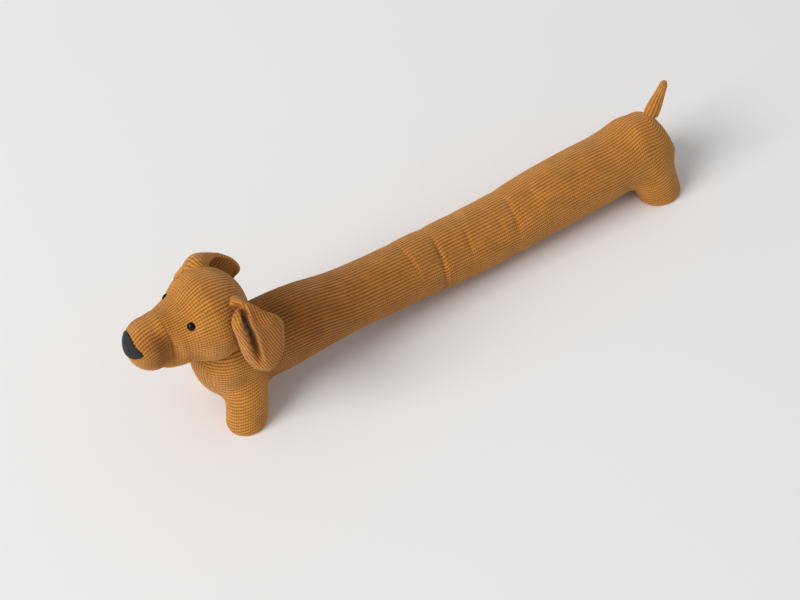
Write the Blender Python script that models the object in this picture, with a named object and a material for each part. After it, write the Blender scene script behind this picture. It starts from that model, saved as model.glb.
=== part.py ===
"""A draught excluder: a long dog in ribbed corduroy that lies along the foot of a door.

The dog looks along -X and its left side faces -Y. It stands on z = 0, with the middle of its box over the
origin. Each piece that a maker cuts, sews on or fits is one object.
"""

import math
from collections import namedtuple

import bmesh
import bpy
import numpy as np
from mathutils import Matrix, Vector

MM = 0.001

# Driving dimensions, in millimetres. The box's middle is measured before the dog is moved over the origin.
GAP = 0.3
BOX_MIDDLE = (-1.52, -4.26)
RIB_RELIEF = 0.9
BODY_RIBS = 54
HEAD_RIBS = 46
EAR_RIBS = 12
TAIL_RIBS = 9
RIB_FADE = 22
LEG_RIB_PITCH = 5.6
LEG_SIDES = 16
SOLE_HEIGHT = 9
SOLE_DRAWN_IN = 0.14
LEG_SHOULDER = 0.4
EAR_WIDTH = 60
EAR_NARROW = 0.4
EAR_THICKNESS = 5.0
EAR_BULGE = 6.0
EAR_ROLL = 4.8
EAR_SLIT_DEPTH = 8.0
EAR_SLIT_SHARE = 0.08
NOSE_THICKNESS = 1.2
NOSE_POINTS = 36
EYE_RADIUS = 5.7
EYE_SUNK = 0.5

# The body's cross-sections, from the breast to the rump: the middle of each, its half width, and how far it
# reaches above and below that middle.
Section = namedtuple("Section", "x y z wide up down")
BODY_SECTIONS = (
    Section(x=-316, y=0, z=88, wide=46, up=58, down=57),
    Section(x=-290, y=0, z=86, wide=48, up=60, down=48),
    Section(x=-250, y=0, z=82, wide=49, up=59, down=46),
    Section(x=-198, y=1, z=78, wide=47, up=48, down=43),
    Section(x=-135, y=3, z=69, wide=43, up=43, down=41),
    Section(x=-70, y=4, z=61, wide=42, up=42, down=42),
    Section(x=0, y=5, z=54, wide=44, up=44, down=44),
    Section(x=65, y=5, z=50, wide=45, up=45, down=49),
    Section(x=135, y=5, z=48, wide=46, up=45, down=51),
    Section(x=206, y=4, z=51, wide=47, up=47, down=52),
    Section(x=280, y=3, z=54, wide=48, up=47, down=50),
    Section(x=354, y=2, z=57, wide=48, up=55.5, down=49),
    Section(x=392, y=1, z=57, wide=46, up=51, down=47),
)
BREAST_DEPTH = 43
RUMP_DEPTH = 48
RUMP_DROP = 15
RING_SPACING = 34
LAST_RING_ANGLE = 86
BODY_END_STEPS = 4

# Where the stuffed tube has buckled a little: a soft trough right across it, which leans by so much for each
# millimetre to the side.
Crease = namedtuple("Crease", "x depth width lean")
BODY_CREASES = (
    Crease(x=-22, depth=1.6, width=9, lean=0.2),
    Crease(x=24, depth=2.6, width=9, lean=0.12),
    Crease(x=150, depth=1.8, width=10, lean=0.16),
)
CREASE_ROOM = 1.6

# Legs: the middle of the foot, its half length and half width, and how far the leg leans from there to its
# round top, inside the body.
Leg = namedtuple("Leg", "name x y long wide height lean_x lean_y")
LEGS = (
    Leg(name="front_left", x=-317, y=-46, long=26, wide=25, height=92, lean_x=8, lean_y=22),
    Leg(name="front_right", x=-304, y=43, long=26, wide=25, height=92, lean_x=8, lean_y=-20),
    Leg(name="rear_left", x=396, y=-47, long=30, wide=28, height=76, lean_x=-4, lean_y=20),
    Leg(name="rear_right", x=359, y=42, long=27, wide=26, height=72, lean_x=0, lean_y=-18),
)

# The head's rings, in its own frame: x runs from the nose to the back of the head.
HEAD_MIDDLE = (-335, 4, 184)
HEAD_YAW = 1.0
Ring = namedtuple("Ring", "x rise wide up down")
HEAD_RINGS = (
    Ring(x=-76, rise=0, wide=30, up=26, down=38),
    Ring(x=-62, rise=0, wide=32, up=26, down=40),
    Ring(x=-47, rise=0, wide=36, up=30, down=43),
    Ring(x=-32, rise=0, wide=45, up=41, down=51),
    Ring(x=-16, rise=0, wide=54, up=55, down=58),
    Ring(x=0, rise=0, wide=58, up=60, down=62),
)
MUZZLE_DEPTH = 30
HEAD_BACK_DEPTH = 56
MUZZLE_STEPS = 6
HEAD_STEPS = 7
HEAD_BACK_STEPS = 5

# An ear's rows, from inside the head to its tip: the front and the back edge, from the head's middle, how
# much of the fold there is, and how far across it lies.
EarRow = namedtuple("EarRow", "front back fold slit")
NEAR_EAR = (
    EarRow(front=(17, -25, 37), back=(30, -24, 35), fold=0.2, slit=0.45),
    EarRow(front=(18, -31, 41), back=(32, -31, 39), fold=0.3, slit=0.45),
    EarRow(front=(16, -39, 41), back=(34, -41, 40), fold=0.5, slit=0.45),
    EarRow(front=(12, -48, 37), back=(38, -53, 39), fold=0.8, slit=0.42),
    EarRow(front=(8, -55, 32), back=(48, -65, 33), fold=1.0, slit=0.37),
    EarRow(front=(8, -58, 21), back=(62, -72, 26), fold=1.0, slit=0.31),
    EarRow(front=(10, -61, 4), back=(66, -78, 7), fold=1.0, slit=0.3),
    EarRow(front=(11, -64, -16), back=(64, -81, -10), fold=0.8, slit=0.31),
    EarRow(front=(14, -67, -32), back=(59, -83, -26), fold=0.35, slit=0.34),
    EarRow(front=(20, -70, -44), back=(50, -83, -42), fold=0.0, slit=0.34),
    EarRow(front=(25, -74, -51), back=(43, -82, -50), fold=0.0, slit=0.34),
    EarRow(front=(31, -77, -54), back=(37, -80, -54), fold=0.0, slit=0.34),
)
FAR_EAR = (
    EarRow(front=(15, 34, 38), back=(27, 27, 37), fold=0.2, slit=0.5),
    EarRow(front=(20, 42, 40), back=(33, 34, 39), fold=0.3, slit=0.5),
    EarRow(front=(22, 52, 38), back=(40, 42, 37), fold=0.4, slit=0.48),
    EarRow(front=(18, 60, 31), back=(47, 47, 34), fold=0.5, slit=0.45),
    EarRow(front=(13, 65, 25), back=(58, 47, 25), fold=0.6, slit=0.42),
    EarRow(front=(6, 67, 20), back=(68, 43, 17), fold=0.6, slit=0.4),
    EarRow(front=(1, 65, 12), back=(76, 40, -2), fold=0.5, slit=0.4),
    EarRow(front=(0, 65, -2), back=(76, 39, -11), fold=0.3, slit=0.4),
    EarRow(front=(3, 64, -17), back=(70, 40, -21), fold=0.1, slit=0.4),
    EarRow(front=(10, 61, -31), back=(61, 43, -36), fold=0.0, slit=0.4),
    EarRow(front=(20, 57, -42), back=(52, 46, -45), fold=0.0, slit=0.4),
    EarRow(front=(30, 53, -48), back=(42, 49, -49), fold=0.0, slit=0.4),
)

# The tail's rings, from inside the rump to its tip.
TailRing = namedtuple("TailRing", "x z radius")
TAIL_Y = 2
TAIL_RINGS = (
    TailRing(x=400, z=96, radius=9),
    TailRing(x=403, z=108, radius=9.5),
    TailRing(x=406, z=118, radius=9),
    TailRing(x=410, z=130, radius=8),
    TailRing(x=414, z=144, radius=6.8),
    TailRing(x=418, z=156, radius=5.2),
    TailRing(x=420.5, z=165, radius=3.8),
    TailRing(x=421.5, z=169, radius=2),
)

# In the head's frame: the nose patch's outline over the tip of the muzzle and where it is cut from, along x,
# and the place of an eye on the surface.
NOSE_OUTLINE = (
    *((-21, 11), (-12, 17), (0, 19), (12, 17), (21, 11)),
    *((20, 4), (12, -6), (0, -11), (-12, -6), (-20, 4)),
)
NOSE_REACH = (-125, -80)
EYE_PLACE = (-33, 30.5, 29)


def material(name, colour, roughness):
    """A Principled material."""
    made = bpy.data.materials.new(name)
    made.use_nodes = True
    shader = made.node_tree.nodes["Principled BSDF"]
    shader.inputs["Base Color"].default_value = (*colour, 1)
    shader.inputs["Roughness"].default_value = roughness
    shader.inputs["Metallic"].default_value = 0
    return made


def through(rows, field, at):
    """The named column of a table of rows, on a smooth curve through them, at a place along x."""
    places = np.array([row.x for row in rows], float)
    values = np.array([getattr(row, field) for row in rows], float)
    slopes = np.gradient(values, places)
    slopes[0] = slopes[-1] = 0
    index = np.clip(np.searchsorted(places, at, side="right") - 1, 0, len(places) - 2)
    span = places[index + 1] - places[index]
    part = (np.asarray(at) - places[index]) / span
    rising = part * part * (3 - 2 * part)
    leaving = part * (1 - part) ** 2
    arriving = part * part * (part - 1)
    return (
        values[index] * (1 - rising)
        + values[index + 1] * rising
        + span * (slopes[index] * leaving + slopes[index + 1] * arriving)
    )


def round_end(depth, steps, outward):
    """Steps out along a round end, as (distance, scale) pairs from the widest ring to the smallest."""
    angles = np.linspace(0, math.radians(LAST_RING_ANGLE), steps + 1)[1:]
    return [(outward * depth * math.sin(a), math.cos(a)) for a in angles]


def ribbed(count, relief):
    """Offsets round a ring that is all ribs: a crest, then the groove beside it."""
    return np.where(np.arange(2 * count) % 2 == 0, relief / 2, -relief / 2)


def oval(count, wide, up, down):
    """The (across, above) points of an oval, starting at its top."""
    angles = 2 * math.pi * np.arange(count) / count
    across = wide * np.sin(angles)
    above = np.where(np.cos(angles) > 0, up, down) * np.cos(angles)
    return across, above


def loft(name, rings):
    """A closed mesh object from rings of equally many points, with a fan over each end."""
    mesh = bpy.data.meshes.new(name)
    shape = bmesh.new()
    made = [[shape.verts.new(Vector(point) * MM) for point in ring] for ring in rings]
    count = len(made[0])
    for near, far in zip(made, made[1:]):
        for i in range(count):
            j = (i + 1) % count
            shape.faces.new((near[i], near[j], far[j], far[i]))
    for ring in (made[0], made[-1]):
        middle = shape.verts.new(sum((vert.co for vert in ring), Vector()) / count)
        for i in range(count):
            shape.faces.new((ring[i], ring[(i + 1) % count], middle))
    bmesh.ops.recalc_face_normals(shape, faces=shape.faces)
    shape.to_mesh(mesh)
    shape.free()
    return bpy.data.objects.new(name, mesh)


def crease_depth(x, across):
    """How far the body's surface is drawn in at x, on a line that leans with the distance across it."""
    depth = 0.0
    for crease in BODY_CREASES:
        away = (x - crease.x - crease.lean * across) / crease.width
        depth += crease.depth * math.exp(-away * away)
    return depth


def body_stations():
    """The x of each ring along the body and the scale of its section, ends included."""
    first, last = BODY_SECTIONS[0].x, BODY_SECTIONS[-1].x
    straight = list(np.arange(first, last + 1, RING_SPACING))
    for crease in BODY_CREASES:
        straight = [x for x in straight if abs(x - crease.x) > crease.width * CREASE_ROOM]
        straight += [crease.x - crease.width, crease.x, crease.x + crease.width]
    breast = [(first + step, scale) for step, scale in round_end(BREAST_DEPTH, BODY_END_STEPS, -1)]
    rump = [(last + step, scale) for step, scale in round_end(RUMP_DEPTH, BODY_END_STEPS, 1)]
    return breast[::-1] + [(x, 1.0) for x in sorted(straight)] + rump


def body_rings(ribs, relief, grow=0.0):
    """The rings of the stuffed tube, with its ribs, flat where it lies on the floor."""
    rings = []
    for x, scale in body_stations():
        inside = min(max(x, BODY_SECTIONS[0].x), BODY_SECTIONS[-1].x)
        y, z, wide, up, down = (
            float(through(BODY_SECTIONS, field, inside)) for field in ("y", "z", "wide", "up", "down")
        )
        if x > inside:
            z -= RUMP_DROP * (1 - scale)
        across, above = oval(2 * ribs, *(half * scale + grow for half in (wide, up, down)))
        length = np.hypot(across, above)
        sunk = np.array([crease_depth(x, side) for side in across])
        fade = min(1.0, float(length.min()) / RIB_FADE)
        reach = 1 + (ribbed(ribs, relief) * fade - sunk) / length
        rings.append(
            [
                (x, y + a * k, max(z + b * k, 0.0) if grow == 0 else z + b * k)
                for a, b, k in zip(across, above, reach)
            ]
        )
    return rings


def head_rings(ribs, relief, grow=0.0):
    """The rings of the head in its own frame, from the tip of the muzzle to the back."""
    first, last = HEAD_RINGS[0].x, HEAD_RINGS[-1].x
    muzzle = round_end(MUZZLE_DEPTH + grow, MUZZLE_STEPS, -1)
    back = round_end(HEAD_BACK_DEPTH + grow, HEAD_BACK_STEPS, 1)
    stations = [(first + step, scale) for step, scale in muzzle[::-1]]
    stations += [(x, 1.0) for x in np.linspace(first, last, HEAD_STEPS)]
    stations += [(last + step, scale) for step, scale in back]
    rings = []
    for x, scale in stations:
        inside = min(max(x, first), last)
        rise, wide, up, down = (
            float(through(HEAD_RINGS, field, inside)) for field in ("rise", "wide", "up", "down")
        )
        across, above = oval(2 * ribs, *(half * scale + grow for half in (wide, up, down)))
        length = np.hypot(across, above)
        fade = min(1.0, float(length.min()) / RIB_FADE)
        reach = 1 + ribbed(ribs, relief) * fade / length
        rings.append([(x, a * k, rise + b * k) for a, b, k in zip(across, above, reach)])
    return rings


def head_frame():
    """The matrix that puts the head on the neck, in metres."""
    return Matrix.Translation(Vector(HEAD_MIDDLE) * MM) @ Matrix.Rotation(math.radians(-HEAD_YAW), 4, "Z")


def leg(row):
    """A stubby leg with ribs round it, drawn in at the sole, whose round top lies in the body."""
    steps = 2 * round(row.height / LEG_RIB_PITCH)
    rings = []
    for i in range(steps):
        share = i / steps
        z = row.height * share
        shoulder = max(0.0, (share - LEG_SHOULDER) / (1 - LEG_SHOULDER))
        scale = math.sqrt(1 - shoulder * shoulder)
        scale -= SOLE_DRAWN_IN * max(0.0, 1 - z / SOLE_HEIGHT) ** 2
        crest = RIB_RELIEF / 2 if i % 2 else -RIB_RELIEF / 2
        along, across = oval(LEG_SIDES, *(half * scale + crest for half in (row.long, row.wide, row.wide)))
        middle = Vector((row.x + row.lean_x * share, row.y + row.lean_y * share, z))
        rings.append([middle + Vector((a, b, 0)) for a, b in zip(along, across)])
    return loft("leg_" + row.name, rings)


def ear_fold(across, row):
    """How far the ear's middle surface stands out at a place across it, from 0 at the front edge to 1."""
    plain = EAR_BULGE * math.sin(math.pi * across)
    if across < row.slit:
        folded = EAR_ROLL * math.sin(math.pi * across / row.slit)
    else:
        folded = EAR_BULGE * math.sin(math.pi * (across - row.slit) / (1 - row.slit))
    folded -= EAR_SLIT_DEPTH * math.exp(-(((across - row.slit) / EAR_SLIT_SHARE) ** 2))
    return row.fold * folded + (1 - row.fold) * plain


def ear(name, rows, side):
    """A two-layer flap with ribs down its outer face, folded lengthwise near its front edge.

    The side is -1 for the dog's left and 1 for its right. A row narrower than the full width is thinner too.
    """
    fronts = [Vector(HEAD_MIDDLE) + Vector(row.front) for row in rows]
    backs = [Vector(HEAD_MIDDLE) + Vector(row.back) for row in rows]
    middles = [(front + back) / 2 for front, back in zip(fronts, backs)]
    rings = []
    for i, row in enumerate(rows):
        along = middles[min(i + 1, len(rows) - 1)] - middles[max(i - 1, 0)]
        chord = backs[i] - fronts[i]
        out = chord.cross(along).normalized() * side
        full = min(1.0, EAR_NARROW + chord.length / EAR_WIDTH)
        half = EAR_THICKNESS / 2 * full
        outer, inner = [], []
        for k in range(2 * EAR_RIBS + 1):
            across = k / (2 * EAR_RIBS)
            rim = math.sqrt(max(0.0, 1 - (2 * across - 1) ** 8))
            rib = RIB_RELIEF / 2 * full if k % 2 else -RIB_RELIEF / 2 * full
            place = fronts[i] + chord * across
            middle = ear_fold(across, row) * full
            outer.append(place + out * (middle + (half + rib) * rim))
            if 0 < k < 2 * EAR_RIBS and k % 2 == 0:
                inner.append(place + out * (middle - half * rim))
        rings.append(outer + inner[::-1])
    return loft(name, rings)


def tail():
    """A stuffed taper whose ribs run along it."""
    rings = []
    for i, ring in enumerate(TAIL_RINGS):
        before, after = TAIL_RINGS[max(i - 1, 0)], TAIL_RINGS[min(i + 1, len(TAIL_RINGS) - 1)]
        along = Vector((after.x - before.x, 0, after.z - before.z)).normalized()
        side = Vector((0, 1, 0))
        front = side.cross(along)
        fade = min(1.0, ring.radius / TAIL_RINGS[0].radius)
        reach = ring.radius + ribbed(TAIL_RIBS, RIB_RELIEF) * fade
        angles = 2 * math.pi * np.arange(2 * TAIL_RIBS) / (2 * TAIL_RIBS)
        middle = Vector((ring.x, TAIL_Y, ring.z))
        spokes = [side * math.sin(angle) + front * math.cos(angle) for angle in angles]
        rings.append([middle + spoke * r for spoke, r in zip(spokes, reach)])
    return loft("tail", rings)


def prism(name, outline, start, end):
    """An outline in y and z, carried straight along x."""
    return loft(name, [[(x, y, z) for y, z in outline] for x in (start, end)])


def eye(name, side):
    """A round bead, set a little way into the head."""
    mesh = bpy.data.meshes.new(name)
    shape = bmesh.new()
    bmesh.ops.create_uvsphere(shape, u_segments=16, v_segments=10, radius=EYE_RADIUS * MM)
    shape.to_mesh(mesh)
    shape.free()
    made = bpy.data.objects.new(name, mesh)
    place = Vector(EYE_PLACE)
    place.y *= side
    outward = place.normalized()
    made.matrix_world = head_frame() @ Matrix.Translation((place - outward * EYE_SUNK) * MM)
    return made


def boolean(piece, operation, other):
    """Join another solid to a piece, or cut the piece by it."""
    step = piece.modifiers.new(other.name, "BOOLEAN")
    step.operation = operation
    step.object = other


def main():
    for obj in list(bpy.data.objects):
        bpy.data.objects.remove(obj)
    dog = bpy.data.collections.new("draught_excluder")
    helpers = bpy.data.collections.new("cutters")
    for collection in (dog, helpers):
        bpy.context.scene.collection.children.link(collection)
    helpers.hide_render = True

    legs = [leg(row) for row in LEGS]
    head_room = loft("head_room", head_rings(HEAD_RIBS, RIB_RELIEF, GAP))
    nose_shell = loft("nose_shell", head_rings(NOSE_POINTS // 2, 0, GAP + RIB_RELIEF / 2 + NOSE_THICKNESS))
    body_room = loft("body_room", body_rings(BODY_RIBS, RIB_RELIEF, GAP))
    for helper in (head_room, nose_shell):
        helper.matrix_world = head_frame()
    for helper in (*legs, head_room, nose_shell, body_room):
        helpers.objects.link(helper)
        helper.hide_render = True
        helper.display_type = "WIRE"

    body = loft("body", body_rings(BODY_RIBS, RIB_RELIEF))
    for made in legs:
        boolean(body, "UNION", made)
    boolean(body, "DIFFERENCE", head_room)
    head = loft("head", head_rings(HEAD_RIBS, RIB_RELIEF))
    head.matrix_world = head_frame()
    ears = [ear("ear_left", NEAR_EAR, -1), ear("ear_right", FAR_EAR, 1)]
    eyes = [eye("eye_left", -1), eye("eye_right", 1)]
    for piece in (*ears, *eyes):
        boolean(piece, "DIFFERENCE", head_room)
    tail_piece = tail()
    boolean(tail_piece, "DIFFERENCE", body_room)
    nose = prism("nose", NOSE_OUTLINE, *NOSE_REACH)
    nose.matrix_world = head_frame()
    boolean(nose, "INTERSECT", nose_shell)
    boolean(nose, "DIFFERENCE", head_room)

    corduroy = (0.42, 0.21, 0.05)
    for piece in (body, head, *ears, tail_piece):
        piece.data.materials.append(material(piece.name, corduroy, 0.9))
    nose.data.materials.append(material("nose", (0.05, 0.055, 0.06), 0.6))
    for piece in eyes:
        piece.data.materials.append(material(piece.name, (0.01, 0.01, 0.01), 0.1))
    for piece in (body, head, *ears, tail_piece, nose, *eyes):
        dog.objects.link(piece)
    middle = Matrix.Translation((-BOX_MIDDLE[0] * MM, -BOX_MIDDLE[1] * MM, 0))
    for obj in bpy.data.objects:
        obj.matrix_world = middle @ obj.matrix_world


main()
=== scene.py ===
# %% [markdown]
# # A draught excluder: a long dog in ribbed corduroy
# The real one is a cloth tube, stuffed tight, with four stubby legs, a round head with a muzzle, two floppy
# ears and a short tail. All of it is wide corduroy, so its ribs tell the eye how every piece was cut and
# stuffed. The plan: lay each piece out as a grid of points whose lines follow the ribs, then lift the ribs
# as real relief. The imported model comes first, because everything stands in its frame.

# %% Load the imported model
import math

import bpy
import numpy as np
from mathutils import Matrix, Vector


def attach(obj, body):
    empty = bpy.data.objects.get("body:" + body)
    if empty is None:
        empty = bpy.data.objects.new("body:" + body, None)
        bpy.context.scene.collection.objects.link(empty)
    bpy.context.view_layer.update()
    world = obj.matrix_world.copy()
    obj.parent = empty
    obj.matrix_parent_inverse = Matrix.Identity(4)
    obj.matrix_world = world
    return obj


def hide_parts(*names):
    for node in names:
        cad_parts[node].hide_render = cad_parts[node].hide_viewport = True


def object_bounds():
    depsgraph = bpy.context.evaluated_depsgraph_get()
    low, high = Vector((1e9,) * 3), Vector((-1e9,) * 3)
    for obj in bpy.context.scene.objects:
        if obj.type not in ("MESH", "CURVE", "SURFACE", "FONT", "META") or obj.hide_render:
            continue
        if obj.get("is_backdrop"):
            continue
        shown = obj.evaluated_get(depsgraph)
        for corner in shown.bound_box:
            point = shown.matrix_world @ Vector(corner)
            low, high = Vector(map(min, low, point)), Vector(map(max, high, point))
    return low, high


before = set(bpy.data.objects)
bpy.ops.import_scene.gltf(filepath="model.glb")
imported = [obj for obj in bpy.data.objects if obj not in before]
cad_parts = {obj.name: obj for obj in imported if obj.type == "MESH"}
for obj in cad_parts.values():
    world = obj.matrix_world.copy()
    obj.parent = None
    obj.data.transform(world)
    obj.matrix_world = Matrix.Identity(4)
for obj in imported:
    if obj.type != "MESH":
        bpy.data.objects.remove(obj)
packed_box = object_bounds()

print("nodes:", sorted(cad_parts))

# %% [markdown]
# ## The camera
# The picture looks down on the dog from its front left, at about 50 degrees, through a long lens, so the tube
# hardly gets narrower towards its tail. A camera is placed by three directions: right, up and back.

# %% Set up the camera
TURNED, RAISED = math.radians(-35.529), math.radians(50)
CAMERA_PLACE = (-0.9050, -1.2097, 1.7880)
back = Vector((math.sin(TURNED) * math.cos(RAISED), -math.cos(TURNED) * math.cos(RAISED), math.sin(RAISED)))
right = Vector((math.cos(TURNED), math.sin(TURNED), 0))
up = back.cross(right)
lens = bpy.data.cameras.new("camera")
lens.lens, lens.sensor_width, lens.sensor_fit = 75.6, 36, "HORIZONTAL"
lens.clip_start, lens.clip_end = 0.05, 50
camera = bpy.data.objects.new("camera", lens)
camera.matrix_world = Matrix.Translation(CAMERA_PLACE) @ Matrix((right, up, back)).transposed().to_4x4()
scene = bpy.context.scene
scene.collection.objects.link(camera)
scene.camera = camera
print("camera looks along", [round(-n, 3) for n in back])

# %% [markdown]
# ## Millimetres, and curves through a table
# A maker measures in millimetres, so the tables here are in millimetres and one function turns them to
# metres. The dog was measured before it was centred, and `BOX_MIDDLE` says by how much. Each table lists
# cross-sections, and a smooth curve through a column gives the sizes in between.

# %% Units and curves
MM = 0.001
BOX_MIDDLE = np.array((-1.52, -4.26, 0.0))


def smooth(value, start, end):
    """0 before start, 1 after end, and an easy curve between."""
    share = np.clip((value - start) / (end - start), 0, 1)
    return share * share * (3 - 2 * share)


def between(value, rise, fall):
    """0, then 1 past the rise, then 0 again past the fall."""
    return smooth(value, *rise) * (1 - smooth(value, *fall))


def hill(value, height, place, width, power=2):
    """A height at a place, falling to 0 on both sides of it: a power of 4 gives a flatter top."""
    return height * np.exp(-((value - place) / width) ** power)


def through(table, column, at):
    """A column of a table on a smooth curve through its rows, at places along column 0."""
    places, values = table[:, 0], table[:, column]
    slopes = np.gradient(values, places)
    slopes[0] = slopes[-1] = 0
    index = np.clip(np.searchsorted(places, at, side="right") - 1, 0, len(places) - 2)
    span = places[index + 1] - places[index]
    part = (np.asarray(at) - places[index]) / span
    rising = part * part * (3 - 2 * part)
    leaving, arriving = part * (1 - part) ** 2, part * part * (part - 1)
    return (values[index] * (1 - rising) + values[index + 1] * rising
            + span * (slopes[index] * leaving + slopes[index + 1] * arriving))


def travelled(points):
    """How far along a row of points each one is, from 0."""
    return np.concatenate([[0], np.cumsum(np.linalg.norm(np.diff(points, axis=0), axis=1))])


print("half way up a step of 0 to 1:", float(smooth(0.5, 0, 1)))

# %% [markdown]
# ## Cloth as a grid
# Corduroy has a direction: its ribs, called wales, run one way. So each piece is a grid with one direction
# along the ribs, in millimetres, and the other across them, counted in ribs. Both go into the UV map, and the
# relief comes from the same count: a broad round crest and a narrow groove. Six points across each
# 4.6 mm rib are enough to draw it, while along the rib a point every 2 to 6 mm will do.

# %% The corduroy grid
TINY = 1e-9
RIB = 4.6
RIB_STEPS = 6
STEP = RIB / RIB_STEPS
RELIEF = 0.88
CREST_POWER = 0.55
# a grid's ends, where the ribs close up, get no relief: from and to this share of the full girth
END_FADE = (0.1, 0.5)


def crest(ribs):
    """The height of the cord across a rib, from 0 in the groove to 1 on the crest."""
    return np.abs(np.cos(np.pi * ribs)) ** CREST_POWER


def outward(points, closed, middle):
    """The normal at each point of a grid, away from the middle line."""
    down = np.gradient(points, axis=0)
    if closed:
        side = np.roll(points, -1, axis=1) - np.roll(points, 1, axis=1)
    else:
        side = np.gradient(points, axis=1)
    normal = np.cross(down, side)
    length = np.linalg.norm(normal, axis=2, keepdims=True)
    away = points - middle
    normal = np.where(length > TINY, normal / np.maximum(length, TINY),
                      away / np.linalg.norm(away, axis=2, keepdims=True))
    return normal * np.where(np.sum(normal * away) < 0, -1, 1)


def xyz(x, y, z):
    """Points from their three columns, each spread to the same shape."""
    return np.stack(np.broadcast_arrays(x, y, z), axis=-1)


def unit(vectors):
    return vectors / np.linalg.norm(vectors, axis=-1, keepdims=True)


def in_rows(values, columns):
    """A grid with one value for each row."""
    return np.repeat(np.asarray(values)[:, None], columns, axis=1)


def all_round(one, other, stop=0):
    """One half of each ring, then the other half backwards. A stop of None repeats the first point."""
    return np.concatenate([one, other[:, -2:stop:-1]], axis=1)


def raised(ribs):
    """How far the cord stands off the skin of a closed grid, as a share of the relief."""
    return crest(ribs[:, :-1]) - 0.5


def cloth(name, points, along, ribs, closed=True, ends=(True, True), place=None, painted_shade=None):
    """A mesh object from a grid of points in millimetres. A fan closes each end that is asked for.

    The last argument says how much painted shade darkens the cloth at each point, from 0 to 2.
    """
    rows, columns = points.shape[:2]
    spots = points - BOX_MIDDLE if place is None else points
    verts = spots.reshape(-1, 3) * MM
    wide = columns if closed else columns - 1
    row, column = np.meshgrid(np.arange(rows - 1), np.arange(wide), indexing="ij")
    beside = (column + 1) % columns
    quads = np.stack([row * columns + column, row * columns + beside,
                      (row + 1) * columns + beside, (row + 1) * columns + column], axis=-1).reshape(-1, 4)
    far = np.minimum(column + 1, along.shape[1] - 1)
    corners = [(row, column), (row, far), (row + 1, far), (row + 1, column)]
    uv = np.stack([np.stack([along[r, c], ribs[r, c]], axis=-1) for r, c in corners], axis=2).reshape(-1, 2)
    faces, extra = quads.tolist(), []
    for wanted, r in zip(ends, (0, rows - 1)):
        if wanted and closed:
            middle = len(verts)
            verts = np.vstack([verts, verts[r * columns:(r + 1) * columns].mean(axis=0)])
            for c in range(columns):
                n = (c + 1) % columns
                order = (c, n) if r else (n, c)
                faces.append([r * columns + order[0], r * columns + order[1], middle])
                extra += [(along[r, c], ribs[r, c])] * 3
    mesh = bpy.data.meshes.new(name)
    mesh.from_pydata(verts.tolist(), [], faces)
    layer = mesh.uv_layers.new(name="cord")
    layer.data.foreach_set("uv", np.vstack([uv, np.array(extra).reshape(-1, 2)]).ravel())
    if closed and volume_within(verts, quads) < 0:
        mesh.flip_normals()
    mesh.shade_smooth()
    if painted_shade is not None:
        values = np.concatenate([np.asarray(painted_shade, float).ravel(), np.zeros(len(verts) - rows * columns)])
        mesh.attributes.new("painted_shade", "FLOAT", "POINT").data.foreach_set("value", values)
    piece = bpy.data.objects.new(name, mesh)
    scene.collection.objects.link(piece)
    if place is not None:
        piece.matrix_world = place
    print(name, "has", len(mesh.loops) - 2 * len(mesh.polygons), "triangles")
    return piece


def volume_within(verts, quads):
    """The volume inside a grid's quads: it is negative where they face inward."""
    one, two, three, four = (verts[quads[:, k]] for k in range(4))
    return float(np.sum(one * np.cross(two, three)) + np.sum(one * np.cross(three, four)))


print("points across a rib are", round(STEP, 2), "mm apart")

# %% [markdown]
# ## Corduroy
# This is a wide cotton corduroy in ochre: a cut pile stands up in ribs on a plain ground. The eye sees a soft
# matt cloth whose crests catch the light and whose grooves go brown, and here that light and shade are painted
# in as a lighter crest tone and a darker groove tone; its edges glow a little where the pile is seen from the
# side, which is what the shader's sheen gives. Weft threads cross the ribs, and in this cloth each rib shows
# small beads about 3 mm apart, and flecks where the pile is worn or pressed. Where shade falls on it, behind
# the head, on the muzzle's sides, in the ear's hollows and at the tail's root, a darker, redder tone is painted
# on as shade.

# %% Colour and node helpers
def colour(code):
    """A linear colour from an sRGB hex code."""
    parts = [int(code[i:i + 2], 16) / 255 for i in (0, 2, 4)]
    return (*(p / 12.92 if p <= 0.04045 else ((p + 0.055) / 1.055) ** 2.4 for p in parts), 1)


def new_material(name):
    """An empty material with its shader, and the node tree to build on."""
    made = bpy.data.materials.new(name)
    made.use_nodes = True
    return made, made.node_tree, made.node_tree.nodes["Principled BSDF"]


def fill(node, inputs):
    """Fills inputs of a node: an output is linked, a node's first one too, and a plain value is set."""
    for key, value in inputs.items():
        value = value.outputs[0] if isinstance(value, bpy.types.Node) else value
        if isinstance(value, bpy.types.NodeSocket):
            node.id_data.links.new(value, node.inputs[key])
        else:
            node.inputs[key].default_value = value


def add(tree, kind, inputs=None, **settings):
    """Adds a shader node with its inputs, and settings for its own properties."""
    node = tree.nodes.new("ShaderNode" + kind)
    for key, value in settings.items():
        setattr(node, key, value)
    fill(node, inputs or {})
    return node


def clouded(tree, shader, scale, dark, light, detail=2.0):
    """Gives the shader two close tones in soft patches. Returns the place on the object."""
    where = add(tree, "TexCoord").outputs["Object"]
    cloud = add(tree, "TexNoise", {"Vector": where, "Scale": scale, "Detail": detail})
    tone = add(tree, "Mix", {0: cloud, 6: colour(dark), 7: colour(light)}, data_type="RGBA").outputs[2]
    fill(shader, {"Base Color": tone})
    return where


print("middle grey is", round(colour("808080")[0], 3), "in linear light")

# %% The corduroy
BEAD = 3.2
# Noise is set by patches in a metre: patches of nap 22 mm across, flecks of 4.3 mm and tufts of 1.1 mm. Real
# tufts are finer, and are drawn this coarse so that they show.
NAP, FLECKS, TUFTS = 45.0, 230.0, 900.0
# how much beads, tufts and flecks count beside the rib's own height and the nap
BEAD_SHARE, TUFT_SHARE, TUFT_BUMP, FLECK_SHARE = 0.24, 0.5, 0.6, 0.8
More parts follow.
